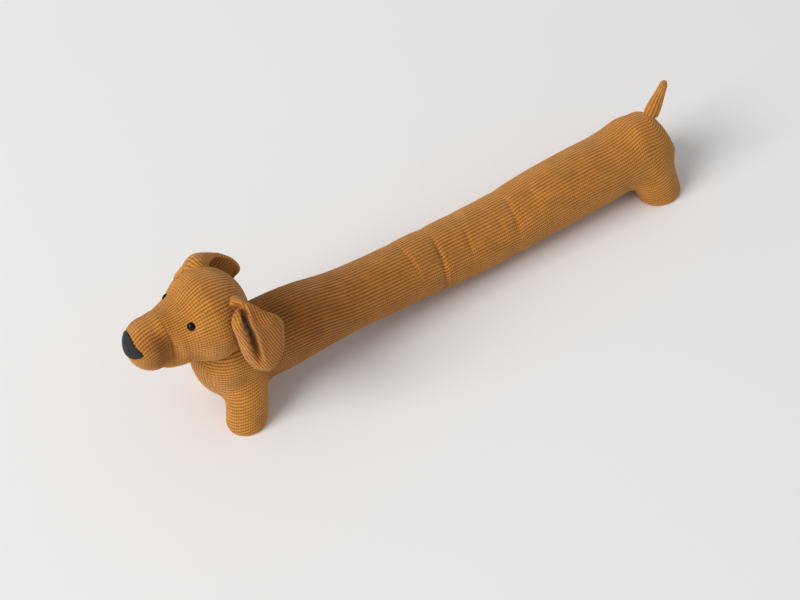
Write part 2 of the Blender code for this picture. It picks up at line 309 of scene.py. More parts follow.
# the cloth is this much darker and lighter where its nap is pressed and worn
PRESSED, WORN = 0.82, 1.18
# the ribs are real relief, and on top of it the crest tone is painted light and the groove tone painted shade
LIT_CREST_TONE, SHADED_GROOVE_TONE, PAINTED_SHADE_TONE = "C6883C", "95551E", "95614F"
# the third tone is painted shade, darker and redder, multiplied in where shade falls
# ribs and beads come from the UV map, nap and pile from noise on the object
corduroy, tree, shader = new_material("ochre_cotton_corduroy_cut_pile")
uv = add(tree, "UVMap", uv_map="cord")
split = add(tree, "SeparateXYZ", {0: uv})
turn = add(tree, "Math", {0: split.outputs["Y"], 1: math.pi}, operation="MULTIPLY")
wave = add(tree, "Math", {0: turn}, operation="COSINE")
height = add(tree, "Math", {0: wave}, operation="ABSOLUTE")
step = add(tree, "Math", {0: split.outputs["X"], 1: math.tau / BEAD}, operation="MULTIPLY")
beat = add(tree, "Math", {0: step}, operation="SINE")
where = add(tree, "TexCoord").outputs["Object"]
nap = add(tree, "TexNoise", {"Vector": where, "Scale": NAP, "Detail": 3.0})
pile = add(tree, "TexNoise", {"Vector": where, "Scale": TUFTS, "Detail": 2.0})
lift = add(tree, "Math", {0: beat, 1: BEAD_SHARE, 2: height}, operation="MULTIPLY_ADD")
rough = add(tree, "Math", {0: pile, 1: TUFT_SHARE, 2: lift}, operation="MULTIPLY_ADD")
# the rib's height, beads and tufts pick between the painted light of the crest and the painted shade of the groove
shade = add(tree, "MapRange", {"Value": rough, 1: 0.25, 2: 1.25}, interpolation_type="SMOOTHSTEP")
cord = add(tree, "Mix", {0: shade, 6: colour(SHADED_GROOVE_TONE), 7: colour(LIT_CREST_TONE)}, data_type="RGBA").outputs[2]
fleck = add(tree, "TexNoise", {"Vector": where, "Scale": FLECKS, "Detail": 3.0})
mixed = add(tree, "Math", {0: fleck, 1: FLECK_SHARE, 2: nap}, operation="MULTIPLY_ADD")
worn = add(tree, "MapRange", {"Value": mixed, 1: 0.6, 2: 1.2, 3: PRESSED, 4: WORN})
toned = add(tree, "VectorMath", {0: cord, "Scale": worn}, operation="SCALE")
# painted shade: where the mesh's attribute asks for it, the colour is multiplied by the painted shade tone
shade_strength = add(tree, "Attribute", attribute_name="painted_shade").outputs["Fac"]
share = add(tree, "MapRange", {"Value": shade_strength, 2: 2.0})
painted_shade = add(tree, "Mix", {0: share, 6: toned, 7: colour(PAINTED_SHADE_TONE)}, data_type="RGBA",
              blend_type="MULTIPLY").outputs[2]
fuzz = add(tree, "Math", {0: pile, 1: TUFT_BUMP, 2: lift}, operation="MULTIPLY_ADD")
bump = add(tree, "Bump", {"Height": fuzz, "Strength": 0.5, "Distance": 0.0008})
fill(shader, {"Base Color": painted_shade, "Normal": bump, "Roughness": 0.92, "Specular IOR Level": 0.15,
              "IOR": 1.5, "Sheen Weight": 0.65, "Sheen Roughness": 0.45, "Sheen Tint": colour("F6DAAC")})
print("one rib is", RIB, "mm and one bead", BEAD, "mm")

# %% [markdown]
# ## The body's shape
# The side panels of the real dog are cut in one with the legs, so no seam shows where a leg begins: the
# cloth just flows round. Two tables give the tube's sections and the legs. A distance function for each of
# them says how far a point is from its skin, and a soft minimum joins the two with a fillet. Both the tube
# and the legs are then pushed out to that joined skin, so they meet without a step.

# %% Body and leg tables
# x, y, z of the middle, half width, reach above and below
BODY = np.array([
    (-316, 0, 99.5, 46, 53.5, 70.5), (-290, 0, 86, 48, 55.5, 50), (-250, 0, 82, 49, 59.5, 50.5),
    (-198, 1, 78, 48, 55.3, 46.3), (-135, 3, 69, 44, 45, 43), (-70, 4, 61, 43, 44, 44),
    (0, 5, 54, 44.5, 46, 44), (65, 5, 50, 45, 46, 49),
    (135, 5, 48, 46, 46, 49), (206, 4, 52, 47, 51, 50), (280, 3, 54, 48, 51, 50.5), (325, 2.5, 56, 48, 47.5, 49),
    (345, 2.3, 56.5, 48, 50.5, 49), (365, 2, 57, 48, 59.3, 49), (392, 1, 56, 46, 59.3, 47)], float)
# the round ends: how deep they are, how far the rump's middle drops to its end, and how its top slopes
BREAST_DEPTH, RUMP_DEPTH, RUMP_DROP = 44.0, 53.3, 22.5
RUMP_SLOPE = 0.85
# x, y of the foot, half length, half width, height, lean along x and y
LEGS = {
    "front_left": (-318.4, -45.6, 27.7, 25.3, 92, 22, 22), "front_right": (-304, 43, 26, 25, 92, 8, -20),
    "rear_left": (395.3, -45.4, 34.8, 28.6, 76, -17, 21), "rear_right": (359, 42, 27, 26, 72, 0, -18)}
# a leg's top is round from this share of its height, and its ribs tip by this much for each millimetre
SHOULDER = 0.4
LEG_TILT = 0.22
# the width of the fillet, and the most that a skin is pushed out to reach it
JOIN = 15.0
TUBE_PUSH, LEG_PUSH = 15.0, 13.0
# where one cloth is behind the other it is tucked in by so much, as its lead grows between these distances
TUCK, TUCK_LEAD = 1.3, (-2, 7)
OFF_FLOOR = 0.1


def body_at(x):
    """The section at x: its middle, half width, reaches, and how far into an end it is, from -1 to 1."""
    inside = np.clip(x, BODY[0, 0], BODY[-1, 0])
    y, z, wide, up_, down = (through(BODY, column, inside) for column in range(1, 6))
    depth = np.where(x < inside, BREAST_DEPTH, RUMP_DEPTH)
    end = (x - inside) / depth
    shrink = np.sqrt(np.maximum(1 - end * end, 0))
    return y, z - np.where(x > inside, RUMP_DROP * (1 - shrink), 0), wide, up_, down, end, depth


def off_body(p):
    """How far points are outside the tube, in millimetres."""
    y, z, wide, up_, down, end, depth = body_at(p[..., 0])
    a, b = p[..., 1] - y, p[..., 2] - z
    ratio = np.sqrt(end ** 2 + (a / wide) ** 2 + (b / np.where(b > 0, up_, down)) ** 2)
    return np.sqrt((end * depth) ** 2 + a * a + b * b) * (1 - 1 / np.maximum(ratio, 1e-6))


def off_leg(p, leg):
    """How far points are outside a leg with a round top."""
    x, y, long, wide, height, lean_x, lean_y = leg
    share = np.clip(p[..., 2] / height, 0, 1)
    a, b = p[..., 0] - x - lean_x * share, p[..., 1] - y - lean_y * share
    dome = np.maximum(p[..., 2] / height - SHOULDER, 0) / (1 - SHOULDER)
    ratio = np.sqrt((a / long) ** 2 + (b / wide) ** 2 + dome ** 2)
    return np.sqrt(a * a + b * b + (dome * height * (1 - SHOULDER)) ** 2) * (1 - 1 / np.maximum(ratio, 1e-6))


def joined(one, other):
    """The soft minimum of two distances."""
    near = np.maximum(JOIN - np.abs(one - other), 0) / JOIN
    return np.minimum(one, other) - near * near * JOIN / 4


def off_legs(p):
    """How far points are outside the nearest leg."""
    return np.minimum.reduce([off_leg(p, leg) for leg in LEGS.values()])


def push_out(points, normal, other, most):
    """How far each point moves along its normal to reach the skin joined with the other distance."""
    low, high = np.zeros(points.shape[:-1]), np.full(points.shape[:-1], 2 * most)
    for halving in range(16):
        middle = (low + high) / 2
        inside = joined(middle, other(points + normal * middle[..., None])) < 0
        low, high = np.where(inside, middle, low), np.where(inside, high, middle)
    return most * np.tanh(low / most)


print("the body is", round(np.ptp(BODY[:, 0]) + BREAST_DEPTH + RUMP_DEPTH), "mm long")

# %% [markdown]
# ## Where the tube has buckled
# A long stuffed tube that bends a little folds its cloth on the inside of the bend. Each fold here is a
# narrow groove across the side of the tube, in a wider trough, and it fades out over the back.

# %% Creases
# x, depth of the groove and the trough, width of the groove, lean for each millimetre across, and the middle
# and half length of the groove across the tube
CREASES = (
    (-31, 1.7, 0.7, 2.8, -0.06, -12, 24), (16.6, 3.0, 1.3, 3.0, 0.15, -30, 30),
    (65.5, 1.5, 0.5, 3.0, 0.2, -26, 15), (113, 0.8, 0.3, 3.0, -0.09, -26, 12), (144, 1.7, 1.0, 3.4, 0.14, -14, 26))
# beside each groove a ridge: its height as a share of the groove, its place and its width, and the trough's
# width, all three in widths of the groove
RIDGE, TROUGH_WIDTH = (0.3, 2.0, 1.2), 3.2


def creased(x, across):
    """How far the skin is drawn in."""
    depth = np.zeros(np.broadcast(x, across).shape)
    for where, groove, trough, width, lean, centre, reach in CREASES:
        away = (x - where - lean * across) / width
        deep = hill(across, groove, centre, reach, 4)
        depth += deep * (hill(away, 1, 0, 1) - hill(away, *RIDGE)) + hill(away, trough, 0, TROUGH_WIDTH)
    return depth


print(len(CREASES), "creases, the deepest", max(crease[1] for crease in CREASES), "mm")

# %% [markdown]
# ## The tube
# The ribs are counted from the middle of the back, along the skin. On the breast and round the rump they run
# level, so there the count follows the height, and round a leg too. Each ring of the grid is laid so that
# its points sit on the ribs; what is left over is shared out under the belly, where nobody looks.

# %% Rings of the tube
# how far apart the rings are in a crease, at a leg and elsewhere, and how near these two are
CREASE_STEP, LEG_STEP, PLAIN_STEP = 1.9, 3.1, 5.6
CREASE_NEAR, LEG_NEAR = 17, 42
# rings on a round end, and how far round it they go in degrees: a fan closes the rest
END_RINGS, END_TURN = 24, 88
HALF_COLUMNS, DENSE_COLUMNS = 198, 261


def round_end(depth, count):
    """Places along a round end, from just past its start to just before its tip."""
    return depth * np.sin(np.radians(np.linspace(0, END_TURN, count))[1:])


def ring_places():
    """x of each ring: close together in the creases, at the legs and round the ends."""
    x, places = BODY[0, 0], []
    while x < BODY[-1, 0]:
        places.append(x)
        legs = min(abs(x - leg[0]) for leg in LEGS.values())
        folds = min(abs(x - fold[0]) for fold in CREASES)
        x += CREASE_STEP if folds < CREASE_NEAR else (LEG_STEP if legs < LEG_NEAR else PLAIN_STEP)
    places.append(BODY[-1, 0])
    breast = BODY[0, 0] - round_end(BREAST_DEPTH, END_RINGS)[::-1]
    rump = BODY[-1, 0] + round_end(RUMP_DEPTH, END_RINGS)
    return np.concatenate([breast, places, rump])


rings = ring_places()
round_half = np.linspace(0, np.pi, DENSE_COLUMNS)


def half_body(side):
    """Dense points from the top down one side of every ring."""
    y, z, wide, up_, down, end, depth = (v[:, None] for v in body_at(rings))
    shrink = np.sqrt(np.maximum(1 - end ** 2, 0))
    high = np.where(np.cos(round_half) > 0, up_, down)
    slope = np.where((np.cos(round_half) > 0) & (end > 0), shrink ** (2 * RUMP_SLOPE), 1)
    across, above = side * wide * shrink * np.sin(round_half), high * shrink * np.cos(round_half) * slope
    points = xyz(rings[:, None], y + across, z + above)
    normal = unit(xyz(end / depth, across / wide ** 2, above / high ** 2))
    points = points + normal * push_out(points, normal, off_legs, TUBE_PUSH)[..., None]
    return points - normal * creased(points[..., 0], points[..., 1] - y)[..., None]


def lengths(points):
    """The length along each row of points."""
    steps = np.linalg.norm(np.diff(points, axis=1), axis=2)
    return np.concatenate([np.zeros((len(points), 1)), np.cumsum(steps, axis=1)], axis=1)


print(len(rings), "rings")

# %% Count the ribs down each side
# where the ribs turn level: from the breast's round end on, and in this distance from a leg
BREAST_TURN, LEG_TURN = (-12, 34), (3, 24)
# points from the top down that can't be on a leg, and how clearly a leg's skin has to be outside
ABOVE_LEGS, LEG_CLEAR = 100, 0.5
# the shares of a ring's length between which its points sit on the ribs
ON_RIBS = (0.03, 0.84)


def count_ribs(points, side, level_legs):
    """The count of the dense points, in mm of ribs: along the skin, but level at both ends and at the legs."""
    arc = lengths(points)
    start = int(np.argmin(np.abs(rings - BODY[0, 0])))
    widest = int(np.argmax(side * points[start, :, 1]))
    level = arc[start, widest] + points[start, widest, 2] - points[..., 2]
    breast = (1 - smooth(rings, *(BODY[0, 0] + n for n in BREAST_TURN)))[:, None]
    count = arc * (1 - breast) + level * breast
    last = int(np.argmax(rings >= BODY[-1, 0]))
    drop = np.maximum.accumulate(-points[last, :, 2])
    for r in range(last + 1, len(rings)):
        count[r] = np.interp(-points[r, :, 2], drop, count[last])
    for name, leg in LEGS.items():
        if leg[1] * side < 0:
            continue
        away, tube = off_leg(points, leg), off_body(points)
        if name not in level_legs:
            ring = int(np.argmin(np.abs(rings - leg[0] - leg[5] / 2)))
            below = np.arange(DENSE_COLUMNS) > ABOVE_LEGS
            low = int(np.argmax((away[ring] < tube[ring] + LEG_CLEAR) & below))
            level_legs[name] = count[ring, low] + points[ring, low, 2]
        near = 1 - smooth(away, *LEG_TURN)
        tilted = points[..., 2] - LEG_TILT * (points[..., 0] - leg[0]) - side * LEG_TILT * (points[..., 1] - leg[1])
        count = count * (1 - near) + (level_legs[name] - tilted) * near
    always_rising = np.arange(DENSE_COLUMNS) * 1e-6
    return arc, np.maximum.accumulate(count + always_rising, axis=1)


def lay_columns(arc, count):
    """The length at each column: on its own rib where the ring has it, and shared out evenly past that."""
    wanted = np.arange(HALF_COLUMNS + 1) * STEP
    first, last = np.interp([share * arc[-1] for share in ON_RIBS], arc, count)
    kept = np.flatnonzero((wanted >= first) & (wanted <= last))
    if len(kept) < 2:
        return np.linspace(0, arc[-1], HALF_COLUMNS + 1)
    spots = np.interp(wanted, count, arc)
    a, b = kept[0], kept[-1]
    spots[:a] = np.linspace(0, spots[a], a + 1)[:-1]
    spots[b + 1:] = np.linspace(spots[b], arc[-1], HALF_COLUMNS - b + 1)[1:]
    return spots


level_legs = {}
sides = []
for side in (-1, 1):
    dense = half_body(side)
    arc, count = count_ribs(dense, side, level_legs)
    ribs_half = np.empty((len(rings), HALF_COLUMNS + 1))
    half = np.empty((*ribs_half.shape, 3))
    for r in range(len(rings)):
        spots = lay_columns(arc[r], count[r])
        half[r] = np.stack([np.interp(spots, arc[r], dense[r, :, k]) for k in range(3)], axis=1)
        ribs_half[r] = np.interp(spots, arc[r], count[r]) / RIB
    sides.append((half, ribs_half))
print("the legs' ribs are level with", {k: round(float(v / RIB), 1) for k, v in level_legs.items()})

# %% Join the sides and lift the ribs
# painted shadow of the head and ear on the tube behind the breast: where it comes in, how much, and where
# that starts to end and ends
HEAD_SHADOW_FROM = (-300, -270)
HEAD_SHADOW = ((0.45, -190, 150), (0.5, -250, -60))
tube = all_round(sides[0][0], sides[1][0])
tube_ribs = all_round(sides[0][1], sides[1][1], None)
middle_line = xyz(rings, *body_at(rings)[:2])[:, None, :]
tube_out = outward(tube, True, middle_line)
fade = smooth(np.sqrt(np.maximum(1 - body_at(rings)[5] ** 2, 0)), *END_FADE)[:, None]
tuck = TUCK * smooth(off_body(tube) - off_legs(tube), *TUCK_LEAD)
tube = tube + tube_out * (RELIEF * fade * raised(tube_ribs) - tuck)[..., None]
tube[..., 2] = np.maximum(tube[..., 2], OFF_FLOOR)
tube_along = in_rows(travelled(middle_line[:, 0]), tube_ribs.shape[1])
# the head's and ear's shadow on the front of the tube, painted on as shade
head_shadow = sum(amount * (1 - smooth(rings, start, end)) for amount, start, end in HEAD_SHADOW)
head_shadow = in_rows(head_shadow * smooth(rings, *HEAD_SHADOW_FROM), tube.shape[1])
body_tube = cloth("body_tube", tube, tube_along, tube_ribs, painted_shade=head_shadow)

# %% [markdown]
# ## The throat
# Between the two side panels the real dog has a narrow gusset, from under the chin to between the front legs.
# Its ribs run up and down. It is a strip of its own, laid on the breast and sunk in at its two seams.

# %% The throat gusset
# turn from the top in degrees, half width
GUSSET = np.array([(50, 15), (75, 23), (92, 27.5), (115, 30), (180, 30)], float)
GUSSET_ROWS, GUSSET_COLUMNS, GUSSET_STEP = 72, 91, 3.0
# under the belly it narrows to its end: where, and to what half width
GUSSET_NARROWS, GUSSET_END, GUSSET_POINT = -290, -240, 10
GUSSET_CORE = np.array((-270, 0, 90))
# how proud it stands, how much bolder its ribs are, and how deep its edges are sunk over how many millimetres
GUSSET_PROUD, GUSSET_BOLD, GUSSET_SUNK, GUSSET_EDGE = 0.6, 1.3, 2.6, 3.5
GUSSET_RIB = 0.88 * RIB
turn = np.radians(np.linspace(GUSSET[0, 0], GUSSET[-1, 0], GUSSET_ROWS))[:, None]
first, widest = BODY[0], GUSSET[-1, 1]
gusset_share = np.linspace(-1, 1, GUSSET_COLUMNS)
gusset_y = through(GUSSET, 1, np.degrees(turn)) * gusset_share
flat = np.sqrt(1 - (gusset_y / first[3]) ** 2)
high = np.where(np.cos(turn) > 0, first[4], first[5])
over_breast = xyz(first[0] - BREAST_DEPTH * np.sin(turn) * flat, first[1] + gusset_y,
                  first[2] + high * np.cos(turn) * flat)
belly_x = np.arange(first[0] + GUSSET_STEP, GUSSET_END, GUSSET_STEP)
belly_wide = widest - (widest - GUSSET_POINT) * smooth(belly_x, GUSSET_NARROWS, GUSSET_END)
belly_y = belly_wide[:, None] * gusset_share
section = [column[:, None] for column in body_at(belly_x)]
under = xyz(belly_x[:, None], section[0] + belly_y,
            section[1] - section[4] * np.sqrt(1 - (belly_y / section[2]) ** 2))
gusset = np.concatenate([over_breast, under])
gusset_y = np.concatenate([gusset_y, belly_y])
gusset_out = outward(gusset, False, GUSSET_CORE)
gusset = gusset + gusset_out * push_out(gusset, gusset_out, off_legs, TUBE_PUSH)[..., None]
gusset_out = outward(gusset, False, GUSSET_CORE)
seam = smooth(np.abs(gusset_share) * widest, widest - GUSSET_EDGE, widest)
gusset_ribs = gusset_y / GUSSET_RIB
gusset_lift = GUSSET_PROUD + GUSSET_BOLD * RELIEF * (crest(gusset_ribs) - 0.5) - GUSSET_SUNK * seam
gusset = gusset + gusset_out * gusset_lift[..., None]
gusset_along = in_rows(np.arange(len(gusset)) * GUSSET_STEP, GUSSET_COLUMNS)
throat = cloth("throat_gusset", gusset, gusset_along, gusset_ribs, closed=False)

# %% [markdown]
# ## The legs
# A leg is a short stuffed bag with a round foot that is flat where it stands. Its ribs are rings that tip a
# little with those of the side panel. The rings are pushed out to the joined skin, and where the tube is the
# nearer of the two they sink a little below it, so only one cloth shows.

# %% Make the legs
# the foot's rounding, how much of it the sole draws in, and the height from which it has full ribs
FOOT_ROUND, FOOT_INSET, SOLE = 9.0, 0.32, 4.0
LEG_COLUMNS, LEG_TOP = 84, 0.97


def make_leg(name, leg):
    """A leg in rings one step apart, from its top in the tube down and round to its sole."""
    x, y, long, wide, height, lean_x, lean_y = leg
    straight = np.arange(height * LEG_TOP, FOOT_ROUND, -STEP)
    bend = np.radians(np.arange(0, 91, math.degrees(STEP / FOOT_ROUND)))
    z = np.concatenate([straight, FOOT_ROUND * (1 - np.sin(bend))])
    inset = np.concatenate([0 * straight, FOOT_INSET * FOOT_ROUND * (1 - np.cos(bend))])
    fall = np.concatenate([-straight, -FOOT_ROUND + FOOT_ROUND * bend])
    share = z / height
    shoulder = np.maximum(0, share - SHOULDER) / (1 - SHOULDER)
    scale = np.sqrt(1 - shoulder ** 2) - inset / wide
    angles = np.linspace(0, 2 * np.pi, LEG_COLUMNS, endpoint=False)
    a, b = long * scale[:, None] * np.cos(angles), wide * scale[:, None] * np.sin(angles)
    points = xyz(x + lean_x * share[:, None] + a, y + lean_y * share[:, None] + b, z[:, None])
    normal = np.repeat(unit(xyz(np.cos(angles) / long, np.sin(angles) / wide, 0))[None], len(z), axis=0)
    points = points + normal * push_out(points, normal, off_body, LEG_PUSH)[..., None]
    points -= normal * (TUCK * smooth(off_leg(points, leg) - off_body(points), *TUCK_LEAD))[..., None]
    out = outward(points, True, xyz(x + lean_x * share, y + lean_y * share, z)[:, None, :])
    tilt = LEG_TILT * (points[..., 0] - x) + math.copysign(LEG_TILT, y) * (points[..., 1] - y)
    ribs = (level_legs[name] + fall[:, None] + np.column_stack([tilt, tilt[:, 0]])) / RIB
    fade = smooth(z, 0.0, SOLE)[:, None]
    points = points + out * (RELIEF * fade * raised(ribs))[..., None]
    points[..., 2] = np.maximum(points[..., 2], OFF_FLOOR)
    along = np.repeat(np.linspace(0, 2 * np.pi * long, LEG_COLUMNS + 1)[None], len(z), axis=0)
    return cloth("leg_" + name, points, along, ribs)


legs = [make_leg(name, leg) for name, leg in LEGS.items()]

# %% [markdown]
# ## The head
# The head is a stuffed ball with a muzzle sewn on in front. The ball's ribs run from the muzzle over the
# forehead and the cheeks to the back, closest together at both ends, like the lines on a melon. The muzzle
# is a panel of its own with its own ribs. Its sides turn away from the light before the seam, and painted
# shade darkens them up to the seam. A finer seam runs from behind the eye to the ear.

# %% Head table
# x, rise, half width, reach above and below, how far from the top the fine seam runs
HEAD = np.array([
    (-76, 0, 31.5, 33.5, 41.5, 24), (-62, 0, 32, 36.5, 52.5, 26), (-47, 0, 36, 36.5, 54.5, 26),
    (-32, 0, 44, 41, 53, 28), (-16, 0, 53, 54, 59.5, 34), (0, 0, 58, 60, 63, 44)], float)
MUZZLE_DEPTH, HEAD_BACK_DEPTH = 32.3, 56.0
HEAD_MIDDLE = np.array((-335.0, 4.0, 184.0))
HEAD_YAW = math.radians(-1.0)
HEAD_RIBS = 41
# the muzzle's seam: its place, and the rings before, from the seam on, and round each end
CREASE_AT, CREASE_GAP = -60.0, 0.3
MUZZLE_RINGS, HEAD_MID_RINGS, MUZZLE_END_RINGS, HEAD_BACK_RINGS = 11, 38, 30, 44


def head_at(x):
    """The section at x in the head's own frame, and how far into an end it is."""
    inside = np.clip(x, HEAD[0, 0], HEAD[-1, 0])
    rise, wide, up_, down, seam = (through(HEAD, column, inside) for column in range(1, 6))
    return rise, wide, up_, down, seam, (x - inside) / np.where(x < inside, MUZZLE_DEPTH, HEAD_BACK_DEPTH)


def head_rings():
    """x of each ring, from the tip of the muzzle to the back."""
    return np.concatenate([
        HEAD[0, 0] - round_end(MUZZLE_DEPTH, MUZZLE_END_RINGS)[::-1],
        np.linspace(HEAD[0, 0], CREASE_AT - CREASE_GAP, MUZZLE_RINGS),
        np.linspace(CREASE_AT + CREASE_GAP, HEAD[-1, 0], HEAD_MID_RINGS),
        HEAD[-1, 0] + round_end(HEAD_BACK_DEPTH, HEAD_BACK_RINGS)])


print("the muzzle is", 2 * HEAD[0, 2], "mm wide, and the head", 2 * HEAD[-1, 2])

# %% Lay the head's grid
x_head = head_rings()
rise, wide, up_, down, seam_at, end = (v[:, None] for v in head_at(x_head))
shrink = np.sqrt(np.maximum(1 - end ** 2, 0))
high = np.where(np.cos(round_half) > 0, up_, down)
head_across, head_above = wide * shrink * np.sin(round_half), high * shrink * np.cos(round_half)
head_dense = xyz(x_head[:, None], -head_across, rise + head_above)
head_arc = lengths(head_dense)
girth = head_arc[:, -1:]
columns = np.linspace(0, 1, HEAD_RIBS * RIB_STEPS + 1)
arc_half = columns * girth
near_half = np.array([np.stack([np.interp(spots, arc, dense[:, k]) for k in range(3)], axis=1)
                      for spots, arc, dense in zip(arc_half, head_arc, head_dense)])
ribs_half = np.where(x_head[:, None] > CREASE_AT, columns * HEAD_RIBS, arc_half / RIB)
seam_half = arc_half - np.minimum(seam_at, 0.4 * girth)
print("the head is", round(2 * float(girth.max())), "mm round, and its widest rib",
      round(float(girth.max()) / HEAD_RIBS, 2), "mm")

# %% Close the head, sew it and lift its ribs
# the fine seam: where it starts and ends, and the height, place and width of its welt and of its groove
SEAM_IN, SEAM_OUT = (-30, -20), (10, 30)
SEAM_WELT, SEAM_GROOVE = (0.9, 1.2, 0.9), (0.8, -0.6, 0.7)
# the pinch behind the muzzle: depth, and width before and behind; its stitched line, that line over the top
# and the ball's first swell: height, place and width
PINCH_DEPTH, PINCH_WIDTHS = 5.0, (15, 7)
STITCHED, STITCHED_TOP, SWELL = (1.2, 0, 1.6), (0.6, 0, 1.6), (0.8, 12, 6)
# how far round from the top, in radians, the pinch comes in and goes, and the painted shade on the muzzle too
PINCH_IN, PINCH_OUT, STITCH_OUT, SWELL_IN = (0.5, 1.4), (1.8, 2.6), (1.8, 2.4), (0.7, 1.4)
SHADE_IN, SHADE_OUT = (0.25, 0.9), (1.9, 2.6)
# painted shade on the muzzle's sides: how much, its place behind the seam, and its width before and behind that
MUZZLE_SHADE = (1.2, -12, 25, 11)
# round an eye the cloth is sunk, and its ribs are calmer: how much, from where, over what radius
EYE_DIMPLE, EYE_CALM = (1.8, 0, 8.0), (0.5, 0, 11.0)
mirror = np.array((1, -1, 1))
head = all_round(near_half, near_half * mirror)
head_ribs = all_round(ribs_half, ribs_half, None)
head_seam = all_round(seam_half, seam_half)
head_out = outward(head, True, xyz(x_head, 0, head_at(x_head)[0])[:, None, :])
fade = smooth(shrink, *END_FADE)
lift = RELIEF * fade * raised(head_ribs)
lift += between(head[..., 0], SEAM_IN, SEAM_OUT) * (hill(head_seam, *SEAM_WELT) - hill(head_seam, *SEAM_GROOVE))
from_top = np.arctan2(np.abs(head[..., 1]), head[..., 2])
behind = head[..., 0] - CREASE_AT
pinch = hill(behind, PINCH_DEPTH, 0, np.where(behind < 0, *PINCH_WIDTHS)) + hill(behind, *STITCHED)
pinch *= between(from_top, PINCH_IN, PINCH_OUT)
pinch += hill(behind, *STITCHED_TOP) * (1 - smooth(from_top, *STITCH_OUT))
lift = lift - pinch + hill(behind, *SWELL) * smooth(from_top, *SWELL_IN)
EYES = {"left": np.array((-33.0, -30.5, 28.5)), "right": np.array((-35.0, 31.5, 24.5))}
for spot in EYES.values():
    away = np.linalg.norm(head - spot, axis=2)
    lift -= hill(away, *EYE_DIMPLE)
    lift *= 1 - hill(away, *EYE_CALM)
# the muzzle's sides turn away from the light before the seam, and get painted shade there
amount, place, *widths = MUZZLE_SHADE
painted_shade = hill(behind, amount, place, np.where(behind < place, *widths)) * between(from_top, SHADE_IN, SHADE_OUT)
head = head + head_out * lift[..., None]
head_place = Matrix.Translation(Vector((HEAD_MIDDLE - BOX_MIDDLE) * MM)) @ Matrix.Rotation(HEAD_YAW, 4, "Z")
head_along = in_rows(travelled(x_head[:, None]), head_ribs.shape[1])
head_piece = cloth("head_ball", head, head_along, head_ribs, place=head_place, painted_shade=painted_shade)

# %% [markdown]
# ## The ears
# Each ear is two layers of corduroy, sewn round the edge and turned, with its front folded over into a roll.
# The rows of a table say where the front and the back edge run, how much of the fold there is, and how
# far across it lies. Between the rows the shape follows a smooth curve. The corduroy of the ears is finer,
# and its ribs run on a slant, as the panels were cut. Under the roll and at the root the ear is hollow. On
# the near ear, painted shade darkens these hollows and the flap, which faces away from the light.

# %% Ear tables
# front edge, back edge, fold, place of the fold across, bulge of the flap, pocket at the root
NEAR_EAR = np.array([
    (18, -26, 33, 30, -24, 34, 0, 0.4, 7, 0), (18, -32, 38, 34, -31, 39, 0, 0.4, 7, 0),
    (18, -39, 41, 37, -41, 40, 0, 0.38, 7, 0), (20.5, -46, 41, 41, -53, 39, 0, 0.36, 7, 1),
    (13, -53, 42, 46, -60, 36.5, 0.9, 0.36, 7, 0.5), (9, -56, 38, 52, -66, 33, 1, 0.34, 7, 0),
    (7, -58, 30, 60, -72, 28, 1, 0.31, 7, 0), (9, -61, 14, 67, -77, 14, 1, 0.3, 7, 0),
    (11, -64, -6, 66, -80, -4, 0.9, 0.31, 7, 0), (12.5, -67, -20, 64, -82, -19, 0.45, 0.33, 7, 0),
    (16, -71, -33, 60, -83, -32, 0.1, 0.34, 7, 0), (21, -75, -43, 55, -83, -43, 0, 0.34, 7, 0),
    (28, -78, -50, 49, -82, -50.5, 0, 0.34, 7, 0), (36, -80, -55, 43, -81, -55, 0, 0.34, 7, 0)])
FAR_EAR = np.array([
    (5, 36, 34.5, 27, 27, 36, 0, 0.55, 14, 0), (4, 43, 33.5, 32, 34, 38, 0, 0.55, 16, 0),
    (6, 51, 28, 40, 42, 36, 0, 0.55, 14, 0), (5, 58, 21, 48, 47, 32.5, 0, 0.55, 10.5, 0),
    (5, 64, 16, 59, 48, 25, 0, 0.55, 7.5, 0), (-1, 67, 9, 69, 45, 17, 0, 0.55, 7, 0),
    (-4, 67, 1, 77, 41, 3, 0, 0.55, 7.5, 0), (-4, 65, -8, 77, 40, -6, 0, 0.5, 8, 0),
    (0, 64, -20, 70, 42, -15, 0, 0.5, 8, 0), (9, 61, -33, 60, 45, -30, 0, 0.5, 8, 0),
    (19, 57, -43, 51, 47, -42, 0, 0.5, 8, 0), (29, 53, -49, 41, 50, -50, 0, 0.5, 8, 0)])
# the fold: height of the roll and its power, and depth, place and half width of the slit
EAR_ROLL, ROLL_POWER, EAR_SLIT = 9.0, 0.7, (15.0, 0, 4.4)
# the ridge behind it: height, place and width across the flap; the flap's bulge beside the fold and its power
EAR_RIDGE, FLAP_BULGE, FLAP_POWER = (5.5, 0.17, 0.13), 0.7, 0.8
# the full width, and the share of all heights that is left where an ear is narrow
EAR_WIDTH, EAR_NARROW, EAR_THICKNESS, EDGE = 60.0, 0.4, 5.0, 2.5
EAR_RIB, EAR_RELIEF, EAR_RIBBED = 3.4, 0.65, (8, 30)
EAR_ROW, EAR_INNER, EAR_RIM, RIM_GAP = 0.62, 96, 7, 0.004
# the welt at the edge and its stitched groove: height, place and width
WELT, WELT_GROOVE = (0.55, 1.5, 1.6), (0.6, 4.6, 0.8)
# the pocket at the root: its depth, and where across it fades out
POCKET_DEEP, POCKET_ACROSS = 5, (0.12, 0.4)
# painted shade in the slit under the roll: its height, place and width across, how much it weakens and where
# along; and on the flap, which faces away from the light, how much and where across it comes in
SLIT_SHADE, SLIT_WEAKER, SLIT_ALONG, FLAP_SHADE, FLAP_ACROSS = (1, 0.01, 0.085), 0.45, (40, 75), 0.3, (0.06, 0.3)


